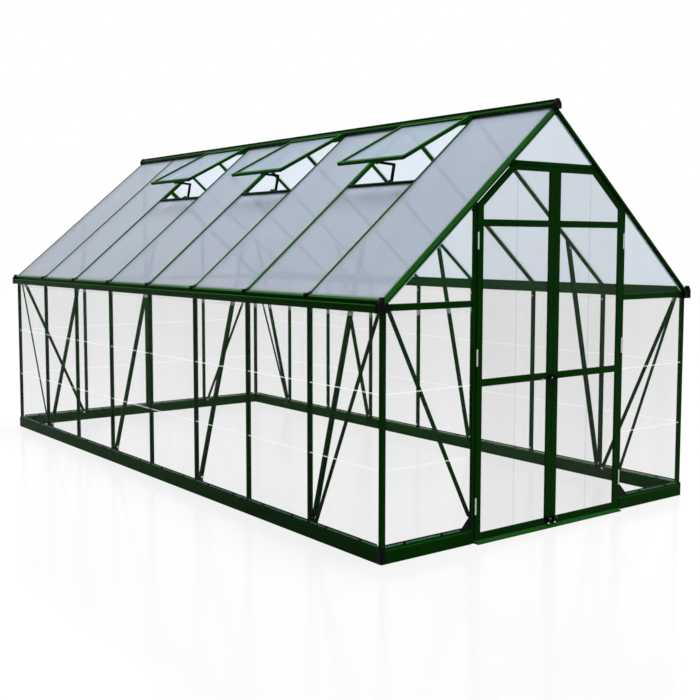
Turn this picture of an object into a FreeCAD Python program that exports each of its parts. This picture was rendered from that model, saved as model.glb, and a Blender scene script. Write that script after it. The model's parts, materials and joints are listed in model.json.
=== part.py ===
"""Polycarbonate greenhouse: a bolted aluminium frame on a low base, with two doors and three roof vents.

Millimetres, +Z up. The origin is on the ground at the middle of the floor plan. The doors face -Y,
the length runs along Y, and the vents are on the -X slope. Doors are shut and vents are open.
"""
import FreeCAD, Part
import math
import os

from FreeCAD import Vector

# Pins, hinge knuckles and other slim rounds have this many sides.
rod_sides = 16

# Edges whose middles lie within this distance are taken to be the same edge.
touching = 1e-6

# Floor plan: the frames stand bay_pitch apart along the length, end_pitch apart across the back.
bay_pitch = 606.0
bay_count = 8
end_pitch = 594.0
end_count = 4

# Heights: the base and the eaves above the ground, the roof plane above the eaves.
base_height = 78.0
eave_height = 1216.0
eave_plane_rise = 64.0
roof_rise = 1003.0

# Base rail: a folded channel, open at the bottom.
base_overhang = 8.0
base_lip_set_back = 4.0
base_lip_height = 10.0
base_sheet = 2.0
corner_round = 10.0

# Wall posts and panes. The panes lie in slots behind the posts' outer flanges.
post_width = 22.0
post_depth = 21.0
post_core = 22.0
post_web = 3.0
flange = 2.0
wall_slot = 2.0
wall_pane = 1.0
corner_post_width = 24.0
corner_slot_end = 7.0
slot_clearance = 1.0
pane_rib_heights = (455.0, 825.0)
pane_rib_width = 9.0
pane_rib_rise = 2.5
top_strip_height = 25.0
top_strip = 1.5
clip_width = 15.0
clip_height = 12.0

# Eave beam with its roof seat, and the gutter that hangs on it.
eave_lip_rise = 5.0
eave_lip = 3.0
eave_lip_set = 2.0
eave_wall = 2.0
eave_nose = 12.0
eave_nose_drop = 9.0
eave_nose_edge = 4.0
gutter_reach = 34.0
gutter_height = 39.0
gutter_back = 19.5
gutter_sheet = 2.0
gutter_rim = 4.0
end_cap = 20.0
end_cap_boss = 7.0
end_cap_rise = 8.0

# Roof bars: even frames carry wide bars, odd frames carry narrow ones over the knee struts.
wide_bar = 28.0
narrow_bar = 17.0
bar_cap = 3.0
bar_core = 14.0
bar_web = 3.0
bar_depth = 24.0
roof_panel = 4.0
panel_skin = 0.6
panel_seal = 4.0
bar_clip_width = 28.0
bar_clip_length = 20.0
bar_clip_rise = 4.0

# Gable rafters: a shell with a bevelled nose that stands out over the end walls.
rafter_inner = 22.0
rafter_cap = 4.0
rafter_nose = 16.6
rafter_depth = 26.6
rafter_sheet = 4.0
rafter_lip = 10.0

# Ridge beam with its upright fin and sloped wings, and the round bead that the vents hook on.
ridge_core = 12.0
ridge_core_depth = 45.0
ridge_wall = 2.0
wing_rise = 21.6
wing_reach = 22.0
wing_sheet = 2.0
ridge_fin_height = 12.0
bead_radius = 3.5
bead_lift = 9.0
bead_neck = 2.5
ridge_cap = 20.0
ridge_cap_margin = 3.0

# Gable beams just over eave height.
gable_beam_set = 7.0
gable_beam_height = 33.0
tube_wall = 2.0

# Knee struts from the base to the roof bars, and the flat wall braces.
strut_width = 22.0
strut_thickness = 22.0
strut_gap = 2.0
strut_lean = 0.222
strut_bracket_width = 26.0
strut_bracket_leg = 34.0
strut_bracket_sheet = 4.0
strut_bracket_margin = 4.0
brace_width = 24.0
brace_thickness = 3.0
brace_top_rise = 19.0
brace_foot = 56.0
brace_corner_set = 30.0
brace_post_set = 25.0
brace_jamb_set = 8.0
brace_jamb_height = 148.0
brace_spacer = 20.0

# Doorway.
jamb_width = 22.0
jamb_inner = 576.6
jamb_proud = 5.0
jamb_depth = 12.0
header_rise = 738.0
header_height = 22.0
header_stop = 10.0
stop_gap = 1.0
gusset_size = 75.0
gusset_sheet = 3.0
threshold_height = 10.0
threshold_front = 40.0
threshold_nose = 4.0
threshold_ramp = 22.0

# Door leaves.
leaf_gap = 2.6
meeting_gap = 2.0
leaf_bottom = 14.0
leaf_head_gap = 4.0
leaf_proud = 10.0
leaf_depth = 10.0
hinge_stile = 40.0
meeting_stile = 42.0
chamfer_gap = 13.4
chamfer_bar = 33.0
bottom_rail_top = 50.0
middle_rail_bottom = 816.0
middle_rail_height = 33.0
upper_rail_rise = 419.0
upper_rail_height = 30.0
top_rail_height = 23.0
leaf_tube_wall = 1.6
leaf_pane = 1.0
leaf_rib_width = 5.0
leaf_rib_rise = 1.5

# Butt hinges in the gap between leaf and jamb.
low_hinge_height = 153.0
middle_hinge_height = 921.0
top_hinge_drop = 119.0
hinge_length = 87.0
knuckle_radius = 4.3
pin_radius = 2.2
pin_clearance = 0.3
hinge_sheet = 1.2
hinge_leaf = 16.0
knuckle_gap = 0.5

# Latch on the left leaf, pull bar on the right leaf.
latch_height = 824.0
rose_radius = 21.0
rose_thickness = 5.0
spindle_radius = 4.0
spindle_clearance = 0.5
latch_hub_radius = 9.0
latch_hub_length = 12.0
latch_lever_tip = 3.0
latch_lever_root_height = 16.0
latch_lever_tip_height = 12.0
latch_lever_thickness = 8.0
cam_length = 36.0
cam_width = 14.0
cam_thickness = 4.0
cam_clearance = 1.0
pull_tip = 71.0
pull_stand_off = 14.0
pull_thickness = 8.0
pull_root_height = 16.0
pull_tip_height = 9.0
pull_foot_width = 24.0
pull_foot_height = 13.0

# Drop bolts at the feet of the meeting stiles.
bolt_inset = 25.0
bolt_radius = 6.5
bolt_clearance = 0.5
bolt_length = 42.5
bolt_rest = 11.5
bolt_tip = 7.0
bolt_tip_radius = 3.0
bolt_guide_width = 22.0
bolt_guide_depth = 18.0
bolt_guide_bottom = 28.0
bolt_guide_height = 28.0
bolt_travel = 11.0
bolt_knob_drop = 6.0
bolt_knob_radius = 2.0
bolt_knob_length = 11.0

# Roof vents, hooked on the ridge bead and tilted open.
vent_frames = (1, 3, 5)
vent_open_angle = 13.3
vent_length = 585.5
vent_side_gap = 2.0
vent_rail_width = 20.0
vent_bottom_rail = 24.0
vent_lift = 2.0
vent_rail_height = 20.0
vent_top_rail = 18.0
vent_rail_start = 18.0
vent_panel_lift = 6.0
hook_clearance = 0.5
hook_wall = 2.5
hook_mouth_angle = 66.0
hook_reach = 20.0
hook_plate = 3.0
sill_start = 571.7
sill_width = 28.0
sill_lip_gap = 2.0
sill_lip_rise = 8.0

# Stay under each vent: a bent flat bar on a clevis, standing on a peg of the sill.
stay_side_step = 30.0
stay_width = 15.0
stay_thickness = 12.0
stay_reach = 125.0
stay_dip = 8.0
stay_foot_past_peg = 5.0
stay_pivot_radius = 2.5
stay_clearance = 0.5
clevis_plate = 3.0
clevis_gap = 0.5
clevis_length = 16.0
clevis_drop = 22.0
peg_radius = 3.0
peg_stand_off = 22.0
peg_drop = 32.0
peg_clearance = 0.6
peg_bracket_width = 26.0
peg_bracket_sheet = 3.0

half_length = bay_pitch * bay_count / 2
half_width = end_pitch * end_count / 2
eave_plane_height = eave_height + eave_plane_rise
ridge_plane_height = eave_plane_height + roof_rise
gable_beam_bottom = eave_height + gable_beam_set
brace_top = eave_height + brace_top_rise
header_bottom = eave_height + header_rise
leaf_top = header_bottom - leaf_head_gap
upper_rail_bottom = eave_height + upper_rail_rise
hinge_heights = (low_hinge_height, middle_hinge_height, upper_rail_bottom - top_hinge_drop)
slope_tan = roof_rise / half_width
slope = math.atan(slope_tan)
slope_cos = math.cos(slope)
slope_sin = math.sin(slope)
frames = [-half_length + bay_pitch * i for i in range(bay_count + 1)]
bar_underside = bar_depth / slope_cos
panel_top = bar_cap
panel_bottom = bar_cap + roof_panel
rafter_seat = panel_bottom + rafter_sheet
hinge_x = jamb_inner - leaf_gap / 2
leaf_front = -half_length - leaf_proud
leaf_back = leaf_front + leaf_depth
leaf_hinge_edge = jamb_inner - leaf_gap
leaf_meeting_edge = meeting_gap / 2
hinge_y = leaf_front - knuckle_radius - pin_clearance - knuckle_gap
jamb_outer = jamb_inner + jamb_width


def roof_z(x, depth=0.0):
    """Height of the roof plane at x, or of a plane that lies depth below it, square to the slope."""
    return ridge_plane_height - slope_tan * abs(x) - depth / slope_cos


def on_roof(x, depth=0.0):
    return x, roof_z(x, depth)


def box(x0, x1, y0, y1, z0, z1):
    return Part.makeBox(x1 - x0, y1 - y0, z1 - z0, Vector(x0, y0, z0))


def prism(corners, direction):
    """Extrude the closed outline through the corners along direction."""
    wire = Part.makePolygon(corners + corners[:1])
    return Part.Face(wire).extrude(direction)


def prism_xz(points, y0, y1):
    return prism([Vector(x, y0, z) for x, z in points], Vector(0, y1 - y0, 0))


def prism_yz(points, x0, x1):
    return prism([Vector(x0, y, z) for y, z in points], Vector(x1 - x0, 0, 0))


def prism_xy(points, z0, z1):
    return prism([Vector(x, y, z0) for x, y in points], Vector(0, 0, z1 - z0))


def cylinder(radius, length, start, direction):
    return Part.makeCylinder(radius, length, Vector(*start), Vector(*direction))


def ring_points(radius):
    turn = 2 * math.pi / rod_sides
    return [(radius * math.cos(k * turn), radius * math.sin(k * turn)) for k in range(rod_sides)]


def rod(radius, length, start, direction):
    """A slim round bar or bore, drawn with rod_sides flat sides."""
    bar = prism_xy(ring_points(radius), 0, length)
    bar.Placement = FreeCAD.Placement(Vector(*start), FreeCAD.Rotation(Vector(0, 0, 1), Vector(*direction)))
    return bar


def frustum(low, high):
    """A solid with flat sides between two rings of points."""
    outlines = [low, high]
    for k in range(len(low)):
        outlines.append([low[k - 1], low[k], high[k], high[k - 1]])
    faces = [Part.Face(Part.makePolygon(corners + corners[:1])) for corners in outlines]
    return Part.makeSolid(Part.makeShell(faces))


def fuse(shapes):
    return shapes[0].fuse(shapes[1:]).removeSplitter()


def mirror_x(shape):
    return shape.mirror(Vector(0, 0, 0), Vector(1, 0, 0))


def mirror_y(shape):
    return shape.mirror(Vector(0, 0, 0), Vector(0, 1, 0))


def both_sides(shapes):
    return shapes + [mirror_x(shape) for shape in shapes]


def write(node, shapes):
    """Write one named piece, or a group of equal pieces, as a STEP file."""
    shape = shapes[0] if len(shapes) == 1 else Part.makeCompound(shapes)
    shape.exportStep("parts/" + node + ".step")


def slab(x0, x1, y0, y1, top, bottom):
    """A slab of the left slope between x0 and x1, from depth top to depth bottom below the roof plane."""
    points = [on_roof(x0, bottom), on_roof(x1, bottom), on_roof(x1, top), on_roof(x0, top)]
    return prism_xz(points, y0, y1)


# Base

def base_outline():
    """Section of the base rail as (distance inside the wall plane, height)."""
    outer, inner = -base_overhang, post_depth
    lip = -base_lip_set_back
    step = base_overhang - base_lip_set_back
    top = base_height
    shoulder = top - base_lip_height
    t = base_sheet
    outside = [(outer, 0), (outer, shoulder - step), (lip, shoulder), (lip, top), (inner, top), (inner, 0)]
    inside = [
        (inner - t, 0), (inner - t, top - t), (lip + t, top - t), (lip + t, shoulder - t),
        (outer + t, shoulder - step - t), (outer + t, 0),
    ]
    return outside + inside


def make_base():
    corner_inner_x = half_width - post_depth
    corner_inner_y = half_length - post_depth
    left = prism_xz([(-half_width + d, z) for d, z in base_outline()], -corner_inner_y, corner_inner_y)
    back = prism_yz([(half_length - d, z) for d, z in base_outline()], -corner_inner_x, corner_inner_x)
    front = prism_yz([(-half_length + d, z) for d, z in base_outline()], -corner_inner_x, -jamb_outer)
    write("side_base_rails", both_sides([left]))
    write("end_base_rails", both_sides([front]) + [back])


def make_base_corners():
    outer_x = half_width + base_overhang
    outer_y = half_length + base_overhang
    block = box(-outer_x, -half_width + post_depth, -outer_y, -half_length + post_depth, 0, base_height)
    corner = Vector(-outer_x, -outer_y, base_height / 2)
    edges = [edge for edge in block.Edges if edge.CenterOfMass.isEqual(corner, touching)]
    block = block.makeFillet(corner_round, edges)
    write("base_corner_joiners", both_sides([block, mirror_y(block)]))


def make_threshold():
    front = -half_length - threshold_front
    back = -half_length + post_depth
    points = [
        (front, 0), (back, 0), (back, threshold_height),
        (front + threshold_ramp, threshold_height), (front, threshold_nose),
    ]
    plate = prism_yz(points, -jamb_inner, jamb_inner)
    for side in (-1, 1):
        start = (side * bolt_inset, bolt_y(), 0)
        plate = plate.cut(rod(bolt_radius + bolt_clearance, threshold_height, start, (0, 0, 1)))
    write("door_threshold", [plate])


# Posts

def post_outline():
    """Section of a wall post as (across, distance inside the wall plane)."""
    slot_end = flange + wall_slot
    half = [
        (post_width / 2, 0), (post_width / 2, flange), (post_web / 2, flange), (post_web / 2, slot_end),
        (post_core / 2, slot_end), (post_core / 2, post_depth),
    ]
    return half + [(-a, d) for a, d in reversed(half)]


def make_posts():
    left = []
    for y in frames[1:-1]:
        left.append(prism_xy([(-half_width + d, y + a) for a, d in post_outline()], base_height, eave_height))
    write("left_wall_posts", left)
    write("right_wall_posts", [mirror_x(post) for post in left])

    beam_top = gable_beam_bottom + gable_beam_height
    back = []
    for i in range(1, end_count):
        x = -half_width + end_pitch * i
        section = [(x + a, half_length - d) for a, d in post_outline()]
        back.append(prism_xy(section, base_height, gable_beam_bottom))
        upper = prism_xy(section, beam_top, ridge_plane_height)
        back.append(upper.cut(gable_cutter(rafter_depth)).cut(ridge_keep_out()))
    write("back_wall_posts", back)


def gable_cutter(depth):
    """Everything over a plane that lies depth below both slopes."""
    reach = half_width + gutter_reach
    over = ridge_plane_height * 2
    points = [on_roof(-reach, depth), on_roof(0, depth), on_roof(reach, depth), (reach, over), (-reach, over)]
    return prism_xz(points, -half_length * 2, half_length * 2)


def ridge_keep_out():
    """The space of the ridge beam's core."""
    bottom = ridge_plane_height - ridge_core_depth
    return box(-ridge_core / 2, ridge_core / 2, -half_length * 2, half_length * 2, bottom, ridge_plane_height)


def make_corner_posts():
    slot_start = flange
    slot_end = flange + wall_slot
    w = corner_post_width
    s = corner_slot_end
    core = post_depth
    outline = [
        (0, 0), (w, 0), (w, slot_start), (s, slot_start), (s, slot_end), (core, slot_end), (core, core),
        (slot_end, core), (slot_end, s), (slot_start, s), (slot_start, w), (0, w),
    ]
    post = prism_xy([(-half_width + a, -half_length + d) for a, d in outline], base_height, eave_height)
    write("corner_posts", both_sides([post, mirror_y(post)]))


# Eaves

def eave_nose_place():
    """The left eave's sloped nose: how far out it reaches, and its top and bottom edges there."""
    lip_in = -half_width - eave_lip_set
    top = roof_z(lip_in) + eave_lip_rise - eave_nose_drop
    return lip_in - eave_lip - eave_nose, top, top - eave_nose_edge


def make_eaves():
    lip_in = -half_width - eave_lip_set
    lip_out = lip_in - eave_lip
    inner = -half_width + post_depth
    seat = panel_bottom
    lip_top = roof_z(lip_in) + eave_lip_rise
    nose, nose_top, nose_bottom = eave_nose_place()
    outline = [
        (lip_out, eave_height), (inner, eave_height), on_roof(inner, seat), on_roof(lip_in, seat),
        (lip_in, lip_top), (nose, nose_top), (nose, nose_bottom), (lip_out, nose_bottom),
    ]
    beam = prism_xz(outline, -half_length, half_length)
    floor = eave_height + eave_wall
    near, far = lip_out + eave_wall, inner - eave_wall
    lumen = [(near, floor), (far, floor), on_roof(far, seat + eave_wall), on_roof(near, seat + eave_wall)]
    beam = beam.cut(prism_xz(lumen, -half_length, half_length))
    write("left_eave_beam", [beam])
    write("right_eave_beam", [mirror_x(beam)])

    out = -half_width - gutter_reach
    t = gutter_sheet
    low, top = eave_height, eave_height + gutter_height
    back = eave_height + gutter_back
    trough = [
        (out, low), (lip_out, low), (lip_out, back), (lip_out - t, back), (lip_out - t, low + t),
        (out + t, low + t), (out + t, top), (out, top), (out - gutter_rim, top - gutter_rim),
        (out, top - gutter_rim),
    ]
    gutter = prism_xz(trough, -half_length, half_length)
    write("left_gutter", [gutter])
    write("right_gutter", [mirror_x(gutter)])

    cap_top = lip_top + end_cap_rise
    face = [
        (out, low), (inner, low), on_roof(inner, rafter_depth), on_roof(lip_in, rafter_depth),
        (lip_in, cap_top), (nose, cap_top), (out, top + end_cap_boss),
    ]
    cap = prism_xz(face, -half_length - end_cap, -half_length)
    write("gutter_end_caps", both_sides([cap, mirror_y(cap)]))


def make_gable_beams():
    inner = half_width - post_depth
    top = gable_beam_bottom + gable_beam_height
    front = tube_x(-inner, -jamb_outer, -half_length, -half_length + post_depth, gable_beam_bottom, top)
    back = tube_x(-inner, inner, half_length - post_depth, half_length, gable_beam_bottom, top)
    beams = both_sides([front]) + [back]
    write("gable_beams", [beam.cut(gable_cutter(rafter_depth)) for beam in beams])


def tube_x(x0, x1, y0, y1, z0, z1, wall=tube_wall):
    return box(x0, x1, y0, y1, z0, z1).cut(box(x0, x1, y0 + wall, y1 - wall, z0 + wall, z1 - wall))


def tube_z(x0, x1, y0, y1, z0, z1, wall=tube_wall):
    return box(x0, x1, y0, y1, z0, z1).cut(box(x0 + wall, x1 - wall, y0 + wall, y1 - wall, z0, z1))


# Roof

def make_roof_bar(y, width):
    """One bar of the left slope: a cap over the panels, a web between them and a core under them."""
    low = -half_width - eave_lip_set
    core_low = -half_width + post_depth
    top = -ridge_core / 2
    cap = slab(low, top, y - width / 2, y + width / 2, 0, panel_top)
    web = slab(low, top, y - bar_web / 2, y + bar_web / 2, panel_top, panel_bottom)
    core = slab(core_low, top, y - bar_core / 2, y + bar_core / 2, panel_bottom, bar_depth)
    return fuse([cap, web, core])


def bar_width(i):
    return wide_bar if i % 2 == 0 else narrow_bar


def make_roof_bars():
    bars = [make_roof_bar(frames[i], bar_width(i)) for i in range(1, bay_count)]
    write("left_roof_bars", bars)
    write("right_roof_bars", [mirror_x(bar) for bar in bars])

    lip_in = -half_width - eave_lip_set
    lip_top = roof_z(lip_in) + eave_lip_rise
    nose, nose_top, nose_bottom = eave_nose_place()
    high = lip_in + bar_clip_length
    out, rise = nose - bar_clip_rise, bar_clip_rise
    outline = [
        on_roof(high), on_roof(lip_in), (lip_in, lip_top), (nose, nose_top), (nose, nose_bottom),
        (out, nose_bottom), (out, nose_top + rise), (lip_in, lip_top + rise), (high, roof_z(high) + rise),
    ]
    clips = []
    for y in frames[1:-1]:
        clips.append(prism_xz(outline, y - bar_clip_width / 2, y + bar_clip_width / 2))
    write("bar_clips", both_sides(clips))


def make_gable_rafters():
    """Shell of the rafter, rebated for the roof panel: (distance out of the wall, depth below the roof)."""
    e, n, t = rafter_nose, rafter_depth, rafter_sheet
    knee = n - rafter_lip
    diagonal = t * (math.sqrt(2) - 1)
    seat_end = rafter_seat - t * math.sqrt(2)
    outline = [
        (-rafter_inner, panel_bottom), (-rafter_cap, panel_bottom), (-rafter_cap, 0), (0, 0), (e, knee),
        (e, n), (e - t, n), (e - t, knee + diagonal), (seat_end, rafter_seat),
        (-rafter_inner + t, rafter_seat), (-rafter_inner + t, n), (-rafter_inner, n),
    ]
    low = -half_width - eave_lip_set
    high = -ridge_core / 2
    corners = [Vector(low, -half_length - out, roof_z(low, depth)) for out, depth in outline]
    rafter = prism(corners, Vector(high - low, 0, roof_z(high) - roof_z(low)))
    rafter = rafter.cut(eave_keep_out())
    write("gable_rafters", both_sides([rafter, mirror_y(rafter)]))


def eave_keep_out():
    """The space of the left eave beam, up to the seat of the roof panels."""
    inner = -half_width + post_depth
    low = -half_width - gutter_reach
    floor, seat = eave_height, panel_bottom
    points = [(low, floor), (inner, floor), on_roof(inner, seat), on_roof(low, seat)]
    return prism_xz(points, -half_length, half_length)


def clear_of_eaves(shape):
    return shape.cut(eave_keep_out()).cut(mirror_x(eave_keep_out()))


def bead_place():
    x = -wing_reach + bead_neck / 2
    return x, roof_z(x, -bead_lift)


def make_ridge():
    bottom = ridge_plane_height - ridge_core_depth
    half = ridge_core / 2
    bead_x, bead_z = bead_place()
    neck_in = wing_reach - bead_neck
    under = -(wing_rise * slope_cos - wing_sheet)
    over = -wing_rise * slope_cos
    fin_top = roof_z(half, over) + ridge_fin_height
    right = [
        (half, bottom), on_roof(half, under), on_roof(neck_in, under), (neck_in, bead_z),
        (wing_reach, bead_z), on_roof(wing_reach, over), on_roof(half, over), (half, fin_top),
    ]
    left = [(-x, z) for x, z in reversed(right)]
    beam = prism_xz(right + left, -half_length, half_length)
    bead = cylinder(bead_radius, 2 * half_length, (bead_x, -half_length, bead_z), (0, 1, 0))
    beam = fuse([beam] + both_sides([bead]))
    inside = half - ridge_wall
    floor, roof = bottom + ridge_wall, fin_top - ridge_wall
    beam = beam.cut(box(-inside, inside, -half_length, half_length, floor, roof))
    write("ridge_beam", [beam])

    edge = wing_reach + ridge_cap_margin
    shoulder = roof_z(wing_reach, over) + ridge_cap_margin
    foot = ridge_plane_height - rafter_depth / slope_cos
    peak = fin_top + ridge_cap_margin
    outline = [(half, peak), (edge, shoulder), on_roof(edge), on_roof(half), (half, foot)]
    outline = outline + [(-x, z) for x, z in reversed(outline)]
    cap = prism_xz(outline, -half_length - ridge_cap, -half_length)
    write("ridge_end_caps", [cap, mirror_y(cap)])


def panel_air(low, top, y0, y1):
    """The sealed air gap between the two skins of a roof panel."""
    seal, skin = panel_seal, panel_skin
    return slab(low + seal, top - seal, y0 + seal, y1 - seal, panel_top + skin, panel_bottom - skin)


def make_roof_panels():
    low = -half_width - eave_lip_set
    top = -ridge_core / 2
    left, right = [], []
    for i in range(bay_count):
        y0 = -half_length + rafter_cap if i == 0 else frames[i] + bar_web / 2
        y1 = half_length - rafter_cap if i == bay_count - 1 else frames[i + 1] - bar_web / 2
        full = slab(low, top, y0, y1, panel_top, panel_bottom)
        right.append(mirror_x(full.cut(panel_air(low, top, y0, y1))))
        end = top
        if i in vent_frames:
            end = roof_point(sill_end(), -panel_top)[0]
            full = full.cut(roof_box(0, sill_end(), -bar_depth, 0, y0, y1))
        left.append(full.cut(panel_air(low, end, y0, y1)))
    write("left_roof_panels", left)
    write("right_roof_panels", right)


# Walls

def make_pane(start, end, rib_start, rib_end, bottom, top, ribs=pane_rib_heights):
    """A wall sheet from start to end with pressed ribs, as a left wall pane standing at x = 0."""
    sheet = box(flange, flange + wall_pane, start, end, bottom, top)
    pieces = [sheet]
    for z in ribs:
        half = pane_rib_width / 2
        points = [(flange, z - half), (flange, z + half), (flange - pane_rib_rise, z)]
        pieces.append(prism_xz(points, rib_start, rib_end))
    return fuse(pieces)


def place_left(shape):
    return shape.translated(Vector(-half_width, 0, 0))


def place_back(shape):
    turned = shape.copy()
    turned.rotate(Vector(0, 0, 0), Vector(0, 0, 1), -90)
    return turned.translated(Vector(0, half_length, 0))


def place_front(shape):
    return mirror_y(place_back(shape))


def wall_spans(edges, half_span):
    """Pane and rib limits along a wall with posts at edges and corners at half_span."""
    spans = []
    web = post_web / 2 + slot_clearance
    limits = [-half_span] + edges + [half_span]
    for a, b in zip(limits[:-1], limits[1:]):
        first, last = a == -half_span, b == half_span
        start = a + (corner_slot_end + slot_clearance if first else web)
        end = b - (corner_slot_end + slot_clearance if last else web)
        rib_start = a + (corner_post_width if first else post_width / 2)
        rib_end = b - (corner_post_width if last else post_width / 2)
        spans.append((start, end, rib_start, rib_end))
    return spans


def make_walls():
    left, back, strips, clips = [], [], [], []
    for start, end, rib_start, rib_end in wall_spans(frames[1:-1], half_length):
        left.append(place_left(make_pane(start, end, rib_start, rib_end, base_height, eave_height)))
        strip, pair = make_strip(rib_start, rib_end, eave_height), make_clips(rib_start, rib_end)
        strips += both_sides([place_left(strip)])
        clips += both_sides([place_left(clip) for clip in pair])
    posts = [-half_width + end_pitch * i for i in range(1, end_count)]
    for start, end, rib_start, rib_end in wall_spans(posts, half_width):
        pane = make_pane(start, end, rib_start, rib_end, base_height, gable_beam_bottom)
        back.append(clear_of_eaves(place_back(pane)))
        strips.append(place_back(make_strip(rib_start, rib_end, gable_beam_bottom)))
        clips += [place_back(clip) for clip in make_clips(rib_start, rib_end)]
    start, rib_start = -half_width + corner_slot_end + slot_clearance, -half_width + corner_post_width
    pane = make_pane(start, -jamb_outer, rib_start, -jamb_outer, base_height, gable_beam_bottom)
    front = clear_of_eaves(place_front(pane))
    strips += both_sides([place_front(make_strip(rib_start, -jamb_outer, gable_beam_bottom))])
    clip_end = -jamb_outer - gusset_size
    clips += both_sides([place_front(clip) for clip in make_clips(rib_start, clip_end)])
    write("left_wall_panes", left)
    write("right_wall_panes", [mirror_x(pane) for pane in left])
    write("end_wall_panes", both_sides([front]) + back)
    write("pane_top_strips", strips)
    write("pane_clips", clips)


def make_strip(start, end, top):
    return box(flange - top_strip, flange, start, end, top - top_strip_height, top)


def make_clips(start, end):
    clips = []
    top = base_height + clip_height
    points = [(-base_lip_set_back, base_height), (flange, base_height), (flange, top), (0, top)]
    quarter = (end - start) / 4
    for y in (start + quarter, end - quarter):
        clips.append(prism_xz(points, y - clip_width / 2, y + clip_width / 2))
    return clips


def make_gable_panes():
    top = gable_beam_bottom + gable_beam_height
    edge = rafter_seat + slot_clearance
    y0 = -half_length + flange
    y1 = y0 + wall_pane
    side_end = half_width - post_depth
    side = [(-jamb_outer, top), on_roof(-jamb_outer, edge), on_roof(-side_end, edge), (-side_end, top)]
    header_top = header_bottom + header_height
    head_x = (ridge_plane_height - edge / slope_cos - header_top) / slope_tan
    core_bottom = ridge_plane_height - ridge_core_depth
    apex_x = (ridge_plane_height - edge / slope_cos - core_bottom) / slope_tan
    apex = [(-head_x, header_top), (head_x, header_top), (apex_x, core_bottom), (-apex_x, core_bottom)]
    front = both_sides([prism_xz(side, y0, y1)]) + [prism_xz(apex, y0, y1)]

    web = post_web / 2 + slot_clearance
    back = []
    limits = [side_end] + [half_width - end_pitch * i for i in range(1, end_count // 2 + 1)]
    for k in range(len(limits) - 1):
        outer = limits[k] - (web if k else 0)
        inner = limits[k + 1] + web
        points = [(-outer, top), (-inner, top), on_roof(-inner, edge), on_roof(-outer, edge)]
        pane = prism_xz(points, -y1, -y0)
        back.append(pane.cut(ridge_keep_out()))
    write("gable_panes", front + both_sides(back))


# Struts and braces

def make_struts():
    """Struts lean in from the base to the underside of the narrow bars."""
    foot = post_depth + strut_gap
    half = strut_width / math.cos(math.atan(strut_lean))
    bottom_z = base_height

    def meet(d0):
        start = eave_plane_height + slope_tan * d0 - bar_underside - slope_tan * strut_lean * bottom_z
        z = start / (1 - slope_tan * strut_lean)
        return d0 + strut_lean * (z - bottom_z), z

    outer, inner = meet(foot), meet(foot + half)
    outline = [(foot, bottom_z), (foot + half, bottom_z), inner, outer]
    shelf_end = foot + half + strut_bracket_margin
    t = strut_bracket_sheet
    wall, leg = post_depth, bottom_z - strut_bracket_leg
    angle = [
        (wall, bottom_z), (wall, leg), (wall + t, leg), (wall + t, bottom_z - t),
        (shelf_end, bottom_z - t), (shelf_end, bottom_z),
    ]
    struts, brackets = [], []
    for y in frames[1:-1:2]:
        struts.append(inside_left_wall(outline, y, strut_thickness))
        brackets.append(inside_left_wall(angle, y, strut_bracket_width))
    write("knee_struts", both_sides(struts))
    write("strut_brackets", both_sides(brackets))


def inside_left_wall(outline, y, width):
    """Extrude an outline of (distance inside the left wall plane, height), centred on y."""
    return prism_xz([(-half_width + d, z) for d, z in outline], y - width / 2, y + width / 2)


def brace_outline(top, foot, foot_height=brace_foot):
    """A flat bar with square ends, from top at brace_top to foot at foot_height."""
    start, end = Vector(top, brace_top, 0), Vector(foot, foot_height, 0)
    along = end.sub(start).normalize()
    side = Vector(-along.y, along.x, 0) * (brace_width / 2)
    corners = [start.add(side), end.add(side), end.sub(side), start.sub(side)]
    return [(corner.x, corner.y) for corner in corners]


def make_braces():
    x0 = -half_width + post_depth
    side = brace_outline(-half_length + post_depth + brace_width, frames[1] - brace_post_set)
    left = prism_yz(side, x0, x0 + brace_thickness)
    end_top = -half_width + brace_corner_set + post_depth
    back = brace_outline(end_top, -half_width + end_pitch - brace_post_set)
    y1 = half_length - post_depth
    rear = prism_xz(back, y1 - brace_thickness, y1)
    foot_x = -jamb_outer + brace_jamb_set
    front = brace_outline(end_top, foot_x, brace_jamb_height)
    y0 = -half_length + post_depth
    fore = prism_xz(front, y0, y0 + brace_thickness)
    half = brace_spacer / 2
    jamb_back = -half_length - jamb_proud + jamb_depth
    spacer = box(-jamb_outer, foot_x, jamb_back, y0, brace_jamb_height - half, brace_jamb_height + half)
    fore = fuse([fore, spacer])
    write("wall_braces", both_sides([left, mirror_y(left), rear, fore]))


# Doorway

def make_doorway():
    y0 = -half_length - jamb_proud
    y1 = y0 + jamb_depth
    seat = max(rafter_seat, jamb_proud + rafter_sheet * math.sqrt(2))
    jamb = tube_z(-jamb_outer, -jamb_inner, y0, y1, 0, ridge_plane_height).cut(gable_cutter(seat))
    write("door_jambs", both_sides([jamb]))

    top = header_bottom + header_height
    reach = half_width
    header = tube_x(-reach, reach, y0, y1, header_bottom, top)
    stop = box(-reach, reach, leaf_back + stop_gap, y1, header_bottom - header_stop, header_bottom)
    write("door_header", [fuse([header, stop]).cut(gable_cutter(seat))])

    g = gusset_size
    corner = [(-jamb_outer, base_height), (-jamb_outer, base_height + g), (-jamb_outer - g, base_height)]
    gusset = prism_xz(corner, -half_length - gusset_sheet, -half_length)
    write("jamb_gussets", both_sides([gusset]))


# Doors: each function makes the right leaf, and the left one is its mirror image.

def on_chamfer(x, depth):
    return on_roof(x, rafter_depth + chamfer_gap + depth)


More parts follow.
